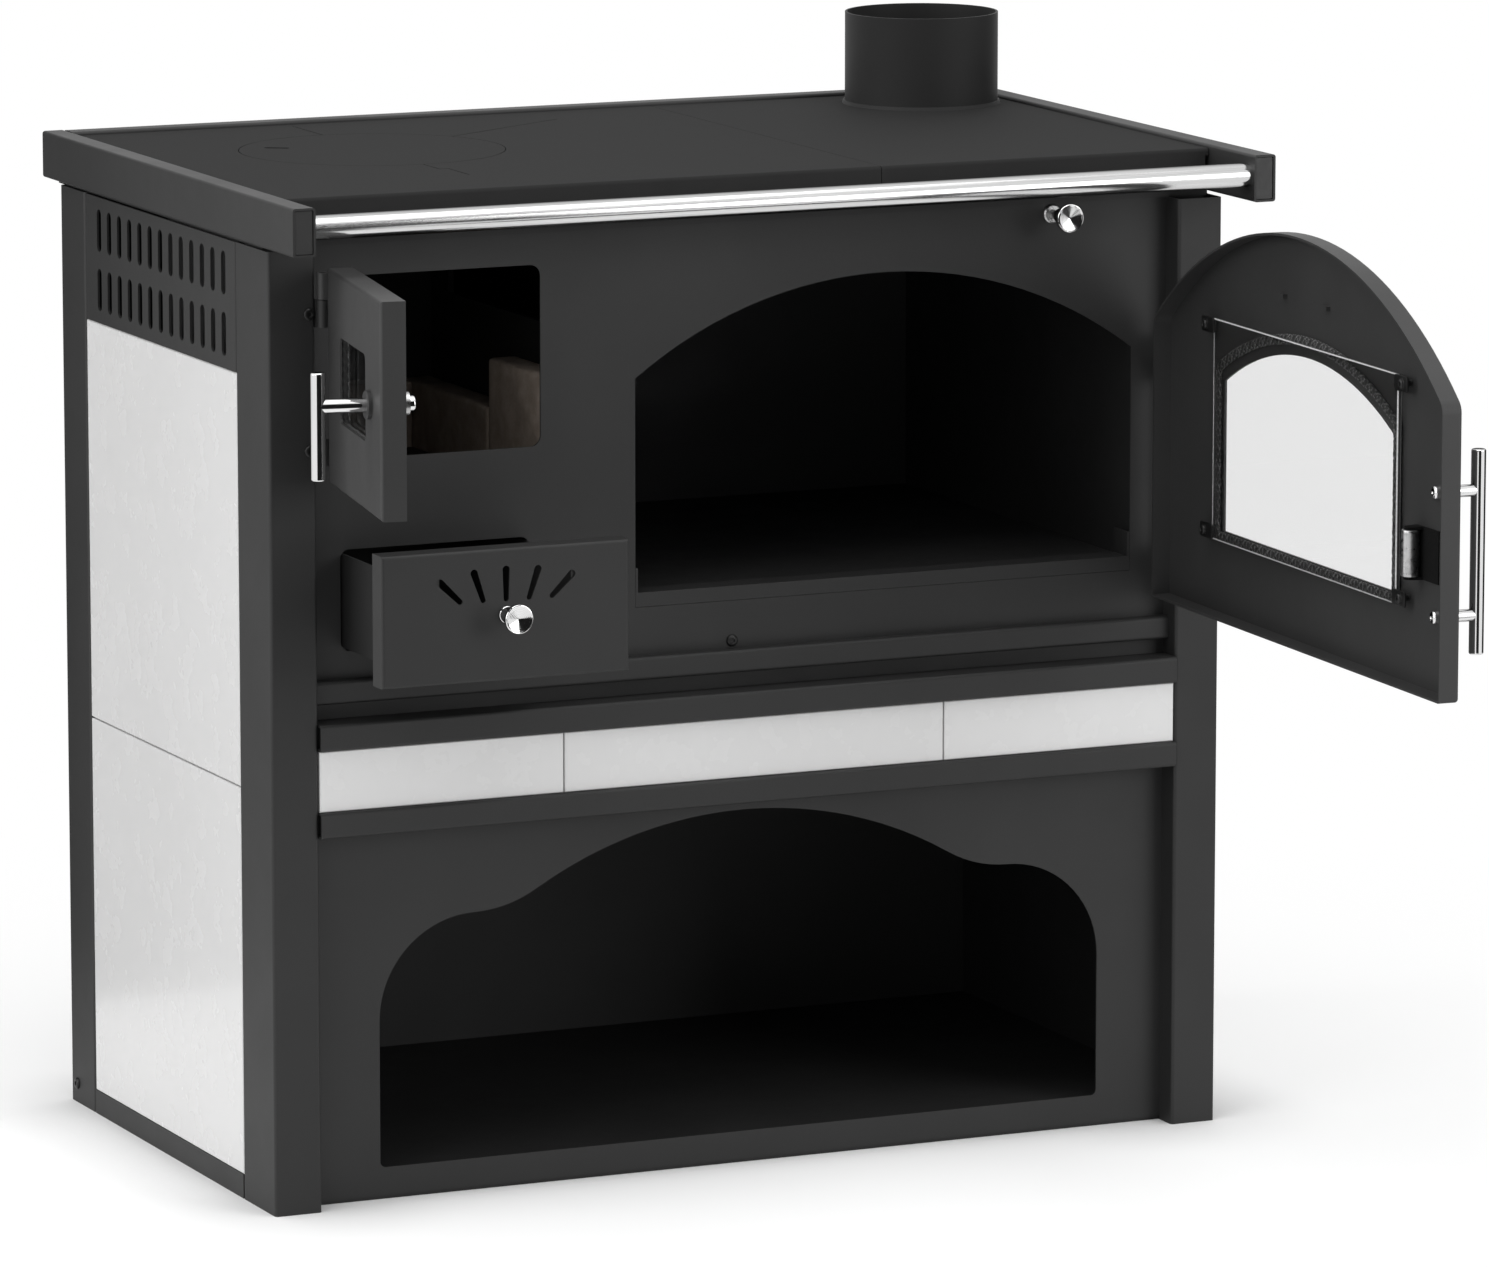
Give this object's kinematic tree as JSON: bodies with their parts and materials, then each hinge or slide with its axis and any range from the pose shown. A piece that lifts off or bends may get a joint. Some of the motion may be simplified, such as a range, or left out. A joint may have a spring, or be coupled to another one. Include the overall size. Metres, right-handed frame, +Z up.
{
  "type": "wood cookstove",
  "caption": "Floor-standing wood cookstove with a hob, firebox, ash drawer, arched oven, wood store, towel rail and a round flue collar.",
  "frame": {"origin": "on the floor, at the middle of the cabinet's footprint", "axes": "+Z up, +X to the right of someone facing the doors, +Y from the front to the back"},
  "size_m": [0.9093, 1.0658, 0.928],
  "materials": {
    "cabinet_paint": "charcoal grey heat-proof paint, satin",
    "inner_sheet": "dark heat-proof paint, matt",
    "oven_steel": "dark enamel, satin",
    "hob_steel": "dark grey, matt, slightly polished by use",
    "collar_paint": "dark heat-proof paint, matt",
    "white_tile": "white glaze, soft gloss",
    "chrome": "polished chrome",
    "brushed_rail": "brushed stainless steel, brushed along the rail",
    "zinc_steel": "bright zinc plate",
    "dark_clip": "black oxide",
    "plug_plastic": "black moulded plastic",
    "firebrick": "brown fired clay, rough",
    "grate_iron": "raw casting, matt",
    "rope": "black braided glass rope",
    "glass": "clear heat-proof glass ceramic"
  },
  "bodies": {
    "cabinet": {"ash_housing": "inner_sheet", "back_panel": "cabinet_paint", "base_pan": "cabinet_paint", "belt_backing": "inner_sheet", "belt_tiles": "white_tile", "cabinet_screws": "dark_clip", "damper_ring": "zinc_steel", "fire_bricks": "firebrick", "firebox_casing": "inner_sheet", "firebox_hinges": "cabinet_paint", "flue_collar": "collar_paint", "flue_partition": "inner_sheet", "front_post_left": "cabinet_paint", "front_post_right": "cabinet_paint", "grate": "grate_iron", "hob_frame": "inner_sheet", "hob_plate_left": "hob_steel", "hob_plate_right": "hob_steel", "lower_front_panel": "cabinet_paint", "lower_trim": "cabinet_paint", "oven_box": "oven_steel", "oven_hinges": "cabinet_paint", "oven_sill": "cabinet_paint", "rear_post_left": "cabinet_paint", "rear_post_right": "cabinet_paint", "rim_bar_left": "cabinet_paint", "rim_bar_rear": "cabinet_paint", "rim_bar_right": "cabinet_paint", "rim_plugs": "plug_plastic", "side_sheet_left": "inner_sheet", "side_sheet_right": "inner_sheet", "side_tiles_left": "white_tile", "side_tiles_right": "white_tile", "side_vent_left": "cabinet_paint", "side_vent_right": "cabinet_paint", "smoke_casing": "inner_sheet", "store_ceiling": "inner_sheet", "towel_rail": "brushed_rail", "upper_front_panel": "cabinet_paint", "upper_trim": "cabinet_paint"},
    "firebox_door": {"firebox_door": "cabinet_paint", "firebox_rope": "rope", "firebox_glass": "glass", "firebox_clips": "zinc_steel"},
    "firebox_handle": {"firebox_handle": "chrome", "firebox_latch": "zinc_steel"},
    "oven_door": {"oven_door": "cabinet_paint", "oven_rope": "rope", "oven_glass": "glass", "oven_clips": "dark_clip", "oven_handle": "chrome", "oven_latch_bracket": "dark_clip"},
    "oven_roller": {"oven_latch_roller": "zinc_steel"},
    "ash_drawer": {"ash_drawer_box": "cabinet_paint", "ash_drawer_front": "cabinet_paint", "ash_drawer_knob": "chrome"},
    "damper": {"damper_plate": "inner_sheet", "damper_rod": "zinc_steel", "damper_knob": "chrome"},
    "hob_disc": {"hob_disc": "hob_steel"}
  },
  "joints": [
    {"name": "firebox_door_swing", "type": "hinge", "parent": "cabinet", "child": "firebox_door", "pos_m": [-0.3885, -0.2455, 0.702], "axis": [0, 0, 1], "range_deg": [-59.7, 100.3]},
    {"name": "firebox_handle_turn", "type": "hinge", "parent": "firebox_door", "child": "firebox_handle", "pos_m": [-0.41943, -0.41571, 0.702], "axis": [-0.9839, 0.1788, 0], "range_deg": [0, 180]},
    {"name": "oven_door_swing", "type": "hinge", "parent": "cabinet", "child": "oven_door", "pos_m": [0.389, -0.2455, 0.57], "axis": [0, 0, -1], "range_deg": [-72.4, 87.6]},
    {"name": "oven_roller_spin", "type": "hinge", "parent": "oven_door", "child": "oven_roller", "pos_m": [0.35391, -0.73646, 0.578], "axis": [0, 0, 1], "continuous": true},
    {"name": "ash_drawer_slide", "type": "slide", "parent": "cabinet", "child": "ash_drawer", "axis": [0, 1, 0], "range_m": [-0.12, 0.131]},
    {"name": "damper_pull", "type": "slide", "parent": "cabinet", "child": "damper", "axis": [0, -1, 0], "range_m": [0, 0.08]},
    {"name": "hob_disc_lift", "type": "slide", "parent": "cabinet", "child": "hob_disc", "axis": [0, 0, 1], "range_m": [0, 0.06]}
  ]
}
